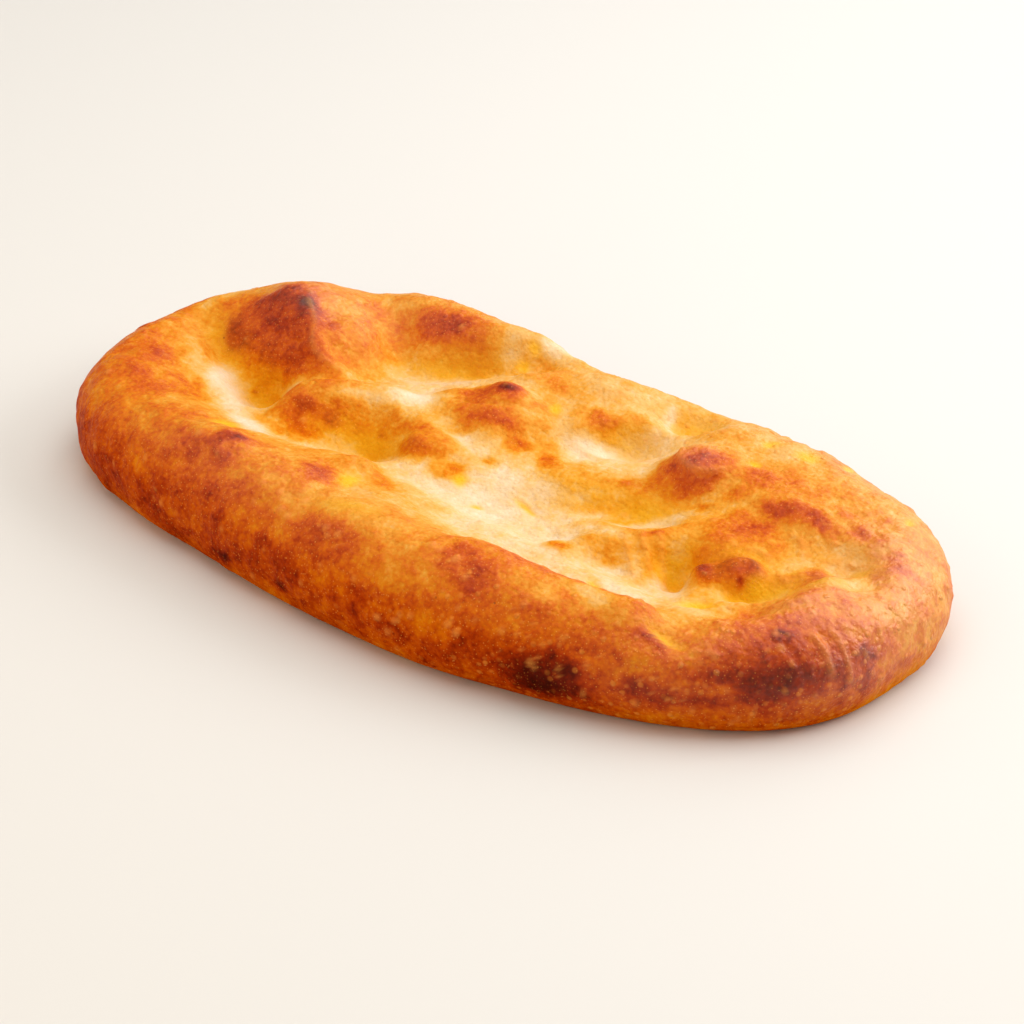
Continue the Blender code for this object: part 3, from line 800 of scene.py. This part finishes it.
for x, y, z, target, half_length, half_width, turn in SIDE_TOASTED.values():
    turn = math.radians(turn)
    offset = np.column_stack([plan, places[:, 2]]) - [x, y, z]
    along = offset[:, 0] * math.cos(turn) + offset[:, 1] * math.sin(turn)
    across = np.sqrt(np.maximum((offset**2).sum(axis=1) - along**2, 0))
    pull = 0.5 ** (((along / half_length) ** 2 + (across / half_width) ** 2) ** SPOT_POWER)
    browning_and_painted_light += pull * (target - browning_and_painted_light)
oiled = np.zeros(len(places))
for spot in OILED.values():
    oiled = np.maximum(oiled, pull_towards(np.zeros(len(places)), plan, *spot, 1) * (depths == 0))
oiled *= 1 - step_up(browning_and_painted_light, *OIL_FADES)

# Shine: how glossy the brushed oil left the crust. It grows from the sides to the top, and
# there is none close to the base. Glossier places: x, y, shine, half-length, half-width, turn.
SIDE_SHINE = 0.02
TOP_SHINE = 0.30
SHINE_GROWS = (18, 33)
SHINE_STARTS = (4, 18)
SHINY = {
    "right_end": (138, 12, 1.8, 42, 16, -80),
    "right_rim": (112, -44, 0.6, 26, 9, 38),
    "far_left_peak": (-96, 35, 1.5, 14, 7, -20),
    "right_crest": (130, -16, 1.4, 15, 6, 38),
    "right_blister": (53, 31, 1.1, 8, 5, -20),
    "left_rim": (-45, -53, 0.6, 30, 9, -5),
    "far_rim": (92, 58, 0.9, 45, 10, -12),
    "far_left_top": (-95, 52, 0.7, 40, 12, 8),
}
shine = SIDE_SHINE + (TOP_SHINE - SIDE_SHINE) * step_up(places[:, 2], *SHINE_GROWS)
for spot in SHINY.values():
    shine = pull_towards(shine, plan, *spot, 1)
shine *= step_up(places[:, 2], *SHINE_STARTS)

# Pimples come up on the rim, from the middle of the bread to its right end, and none on the
# last of the curve down to the flat base.
PIMPLED_ALONG = (-40, 70)
PIMPLED_DEPTH = 0.8
pimpled = share * step_up(places[:, 0], *PIMPLED_ALONG) * (depths < PIMPLED_DEPTH)

# What the material reads at each vertex.
layers = {"browning_and_painted_light": browning_and_painted_light, "oiled": oiled, "standing": standing, "shine": shine,
          "pimpled": pimpled, "thin": THIN_SHARE * windowed}
for name, values in layers.items():
    layer = mesh.attributes.new(name, "FLOAT", "POINT")
    layer.data.foreach_set("value", values)


def linear(colour):
    """An sRGB hex colour as linear values with full alpha."""
    channels = [int(colour[k:k + 2], 16) / 255 for k in (1, 3, 5)]
    return [c / 12.92 if c <= 0.04045 else ((c + 0.055) / 1.055) ** 2.4 for c in channels] + [1.0]


def add_node(tree, kind, settings=None, links=None, **properties):
    """Adds a node with its properties, its socket values and the links into its sockets."""
    node = tree.nodes.new(kind)
    for name, value in properties.items():
        setattr(node, name, value)
    for socket, value in (settings or {}).items():
        node.inputs[socket].default_value = value
    for socket, source in (links or {}).items():
        tree.links.new(source, node.inputs[socket])
    return node


# Baked wheat crust brushed with olive oil: satin, slightly translucent where it is thin,
# mottled over a few millimetres, with a fine dry grain on the browned parts. Its colour
# follows the browning, from cream through gold, orange and red-brown to a dark scorch; the
# same values also carry some painted sheen, highlight and shade.
CRUST_RAMP = (
    (0.00, "#ebe4d4"), (0.06, "#eaddc4"), (0.14, "#e8cca2"), (0.24, "#e6b76c"), (0.36, "#e39d30"),
    (0.48, "#da7f08"), (0.58, "#d16602"), (0.68, "#c04d02"), (0.78, "#a63401"),
    (0.87, "#802001"), (0.94, "#5a1202"), (1.00, "#3c0d02"),
)
OIL_COLOUR = "#e0a61a"
THIN_COLOUR = "#f4b816"
SPECK_COLOUR = "#f0a04a"
PIMPLE_COLOUR = "#f2983a"
DARK_SPECK_COLOUR = "#5e1c04"

material = bpy.data.materials.new("baked_wheat_crust")
material.use_nodes = True
tree = material.node_tree
tree.nodes.clear()
place = add_node(tree, "ShaderNodeTexCoord").outputs["Object"]
browned_and_painted_light = add_node(tree, "ShaderNodeAttribute", attribute_name="browning_and_painted_light").outputs["Fac"]
oil = add_node(tree, "ShaderNodeAttribute", attribute_name="oiled").outputs["Fac"]
stood = add_node(tree, "ShaderNodeAttribute", attribute_name="standing").outputs["Fac"]

# Mottling: patch size in mm, detail and strength. Each noise adds its share to a sum that
# starts below nought, so that it lightens as much as it darkens. Cream crust is mottled less
# than brown crust, and so is scorched crust.
MOTTLES = ((14, 3, 0.30), (5.5, 4, 0.48), (1.6, 3, 0.36))
grains = []
mottle = None
for size, detail, strength in MOTTLES:
    grain = add_node(tree, "ShaderNodeTexNoise", {"Scale": 1 / (size * MM), "Detail": detail},
                     {"Vector": place}).outputs["Fac"]
    grains.append(grain)
    settings, links = {1: strength}, {0: grain}
    if mottle is None:
        settings[2] = -sum(strength for _, _, strength in MOTTLES) / 2
    else:
        links[2] = mottle
    mottle = add_node(tree, "ShaderNodeMath", settings, links, operation="MULTIPLY_ADD").outputs[0]
gain = add_node(tree, "ShaderNodeMapRange", {"From Min": 0.1, "From Max": 0.5, "To Min": 0.25},
                {"Value": browned_and_painted_light}).outputs[0]
steady = add_node(tree, "ShaderNodeMapRange",
                  {"From Min": 0.7, "From Max": 1.0, "To Min": 1.0, "To Max": 0.3},
                  {"Value": browned_and_painted_light}).outputs[0]
gain = add_node(tree, "ShaderNodeMath", None, {0: gain, 1: steady}, operation="MULTIPLY").outputs[0]
level = add_node(tree, "ShaderNodeMath", None, {0: mottle, 1: gain, 2: browned_and_painted_light},
                 operation="MULTIPLY_ADD").outputs[0]
ramp = add_node(tree, "ShaderNodeValToRGB", None, {"Fac": level})
while len(ramp.color_ramp.elements) < len(CRUST_RAMP):
    ramp.color_ramp.elements.new(0.5)
for element, (position, shade) in zip(ramp.color_ramp.elements, CRUST_RAMP):
    element.position = position
    element.color = linear(shade)
colour = add_node(tree, "ShaderNodeMix", {7: linear(OIL_COLOUR)},
                  {0: oil, 6: ramp.outputs["Color"]}, data_type="RGBA").outputs[2]
thin = add_node(tree, "ShaderNodeAttribute", attribute_name="thin").outputs["Fac"]
colour = add_node(tree, "ShaderNodeMix", {7: linear(THIN_COLOUR)},
                  {0: thin, 6: colour}, data_type="RGBA").outputs[2]

# Grit, pimples and dark specks: spacing and radius in mm, the draw (0 to 1) of a cell above
# which it stays empty, the rise in mm and the colour. They show most in the cells with the
# lowest draw, on brown crust or on the pimpled rim, and they fade where it is scorched.
SPECKS = (
    (1.0, 0.28, 0.9, 0.14, SPECK_COLOUR),
    (3.3, 1.1, 0.8, 0.7, PIMPLE_COLOUR),
    (5.5, 0.5, 0.5, 0.0, DARK_SPECK_COLOUR),
)
# DOT_FULL is the share of a dot's radius that has its full colour, and DOT_STRENGTH is how
# much of it shows. The last share draws the raised folds and small blisters to the grit's
# colour: dried paler crust, and on the folds a painted highlight along their crests as well.
DOT_FULL = 0.55
DOT_STRENGTH = 0.7
PALENESS_AND_HIGHLIGHT = 0.5
crusty = add_node(tree, "ShaderNodeMapRange", {"From Min": 0.35, "From Max": 0.6},
                  {"Value": browned_and_painted_light}).outputs[0]
crusty = add_node(tree, "ShaderNodeMath", None, {0: crusty, 1: steady}, operation="MULTIPLY").outputs[0]
pimpled = add_node(tree, "ShaderNodeAttribute", attribute_name="pimpled").outputs["Fac"]
pimpled = add_node(tree, "ShaderNodeMath", None, {0: pimpled, 1: steady}, operation="MULTIPLY").outputs[0]
domes = []
for (spacing, radius, limit, _, shade), where in zip(SPECKS, (crusty, pimpled, crusty)):
    edge = radius / spacing
    cells = add_node(tree, "ShaderNodeTexVoronoi", {"Scale": 1 / (spacing * MM)}, {"Vector": place})
    apart = cells.outputs["Distance"]
    shown = add_node(tree, "ShaderNodeMapRange", {"From Min": limit, "From Max": 0.0},
                     {"Value": cells.outputs["Color"]}).outputs[0]
    shown = add_node(tree, "ShaderNodeMath", None, {0: shown, 1: where}, operation="MULTIPLY").outputs[0]
    dot = add_node(tree, "ShaderNodeMapRange", {"From Min": edge, "From Max": DOT_FULL * edge},
                   {"Value": apart}).outputs[0]
    dot = add_node(tree, "ShaderNodeMath", None, {0: dot, 1: shown}, operation="MULTIPLY").outputs[0]
    dot = add_node(tree, "ShaderNodeMath", {1: DOT_STRENGTH}, {0: dot}, operation="MULTIPLY").outputs[0]
    colour = add_node(tree, "ShaderNodeMix", {7: linear(shade)}, {0: dot, 6: colour},
                      data_type="RGBA").outputs[2]
    dome = add_node(tree, "ShaderNodeMapRange", {"From Min": edge, "From Max": 0.0},
                    {"Value": apart}, interpolation_type="SMOOTHSTEP").outputs[0]
    dome = add_node(tree, "ShaderNodeMath", None, {0: dome, 1: shown}, operation="MULTIPLY").outputs[0]
    domes.append(dome)
paler = add_node(tree, "ShaderNodeMath", {1: PALENESS_AND_HIGHLIGHT}, {0: stood}, operation="MULTIPLY").outputs[0]
colour = add_node(tree, "ShaderNodeMix", {7: linear(SPECK_COLOUR)}, {0: paler, 6: colour},
                  data_type="RGBA").outputs[2]

# Relief too fine for the mesh, in mm: the middle and the finest mottling, open pores, and
# the grit and pimples.
PORE_SIZE = 1.3
PORE_DEPTH = 0.25
GRAIN_RISE = 0.3
pores = add_node(tree, "ShaderNodeTexVoronoi", {"Scale": 1 / (PORE_SIZE * MM), "Smoothness": 0.7},
                 {"Vector": place}, feature="SMOOTH_F1").outputs["Distance"]
relief = add_node(tree, "ShaderNodeMath", {1: GRAIN_RISE}, {0: grains[2], 2: grains[1]},
                  operation="MULTIPLY_ADD").outputs[0]
relief = add_node(tree, "ShaderNodeMath", {1: -PORE_DEPTH}, {0: pores, 2: relief},
                  operation="MULTIPLY_ADD").outputs[0]
for dome, (_, _, _, rise, _) in zip(domes, SPECKS):
    relief = add_node(tree, "ShaderNodeMath", {1: rise}, {0: dome, 2: relief},
                      operation="MULTIPLY_ADD").outputs[0]
grainy = add_node(tree, "ShaderNodeBump", {"Strength": 1.0, "Distance": 1.0 * MM}, {"Height": relief})

# Satin where the oil dried. Only a little light gets into the crust, and it comes out warm.
LIGHT_DEPTH = 2.5
gloss = add_node(tree, "ShaderNodeMapRange", {"To Min": 0.40, "To Max": 0.60}, {"Value": grains[1]})
oil_shine = add_node(tree, "ShaderNodeAttribute", attribute_name="shine").outputs["Fac"]
shader = add_node(
    tree, "ShaderNodeBsdfPrincipled",
    {"Metallic": 0.0, "IOR": 1.45, "Specular Tint": linear("#fff2e8"), "Subsurface Weight": 0.05,
     "Subsurface Scale": LIGHT_DEPTH * MM, "Subsurface Radius": (1.0, 0.45, 0.15)},
    {"Base Color": colour, "Roughness": gloss.outputs[0], "Normal": grainy.outputs[0],
     "Specular IOR Level": oil_shine})
add_node(tree, "ShaderNodeOutputMaterial", None, {"Surface": shader.outputs[0]})
mesh.materials.append(material)

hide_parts("focaccia")
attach(bread, "root")

# ---------------------------------------------------------------------------------------
# The table top: a wide flat board with pale matte paint, a hair below the bread. Soft
# studio lamps hang over it and stand behind it, with weaker ones at the left and in front.
# ---------------------------------------------------------------------------------------

# Sizes of the table, the lamps and the camera's place are in metres.
TABLE_SIZE = 6.0
TABLE_COLOUR = "#dddfdf"
TABLE_ROUGHNESS = 0.9
GAP = 0.0002

board = bmesh.new()
bmesh.ops.create_grid(board, x_segments=1, y_segments=1, size=TABLE_SIZE / 2)
bmesh.ops.translate(board, verts=board.verts, vec=(0, 0, -GAP))
table_mesh = bpy.data.meshes.new("table_top")
board.to_mesh(table_mesh)
board.free()
paint = bpy.data.materials.new("matte_pale_paint")
paint.use_nodes = True
paint_shader = paint.node_tree.nodes["Principled BSDF"]
paint_shader.inputs["Base Color"].default_value = linear(TABLE_COLOUR)
paint_shader.inputs["Roughness"].default_value = TABLE_ROUGHNESS
table_mesh.materials.append(paint)
table = bpy.data.objects.new("table_top", table_mesh)
bpy.context.scene.collection.objects.link(table)

# Each square lamp: its place, its width, its power in watts and its colour. All of them
# face the bread.
LAMPS = {
    "window": ((0.76, 0.58, 0.58), 0.60, 6.5, "#fffaf6"),
    "back_panel": ((0.05, 1.10, 0.55), 1.20, 7.6, "#fffaf8"),
    "overhead": ((0.05, 0.10, 1.10), 1.20, 9.0, "#fffaf4"),
    "left_panel": ((-0.95, -0.20, 0.70), 0.70, 1.8, "#ffeedc"),
    "front_fill": ((-0.10, -1.00, 0.45), 0.90, 4.0, "#ffe2bc"),
}
for name, (stand, width, power, tint) in LAMPS.items():
    lamp = bpy.data.lights.new(name, "AREA")
    lamp.size = width
    lamp.energy = power
    lamp.color = linear(tint)[:3]
    holder = bpy.data.objects.new(name, lamp)
    holder.location = stand
    holder.rotation_euler = Vector(stand).to_track_quat("Z", "Y").to_euler()
    bpy.context.scene.collection.objects.link(holder)

ROOM_COLOUR = "#fff1de"
ROOM_BRIGHTNESS = 0.25
room = bpy.data.worlds.new("pale_room")
room.use_nodes = True
room_light = room.node_tree.nodes["Background"]
room_light.inputs["Color"].default_value = linear(ROOM_COLOUR)
room_light.inputs["Strength"].default_value = ROOM_BRIGHTNESS
bpy.context.scene.world = room
bpy.context.scene.view_settings.view_transform = "Standard"

# ---------------------------------------------------------------------------------------
# The camera: a long lens a little under a metre away, 37 degrees round from the front
# towards the right end and 32 degrees above the table, aimed near the middle of the bread.
# ---------------------------------------------------------------------------------------

CAMERA_ROUND = math.radians(37)
CAMERA_UP = math.radians(32)
CAMERA_DISTANCE = 0.95
CAMERA_AIM = Vector((0.0055, 0.0037, 0.007))
CAMERA_LENS_MM = 107.4

back = Vector((math.sin(CAMERA_ROUND) * math.cos(CAMERA_UP),
               -math.cos(CAMERA_ROUND) * math.cos(CAMERA_UP), math.sin(CAMERA_UP)))
camera_data = bpy.data.cameras.new("camera")
camera_data.lens = CAMERA_LENS_MM
camera = bpy.data.objects.new("camera", camera_data)
camera.location = CAMERA_AIM + back * CAMERA_DISTANCE
camera.rotation_euler = back.to_track_quat("Z", "Y").to_euler()
bpy.context.scene.collection.objects.link(camera)
bpy.context.scene.camera = camera
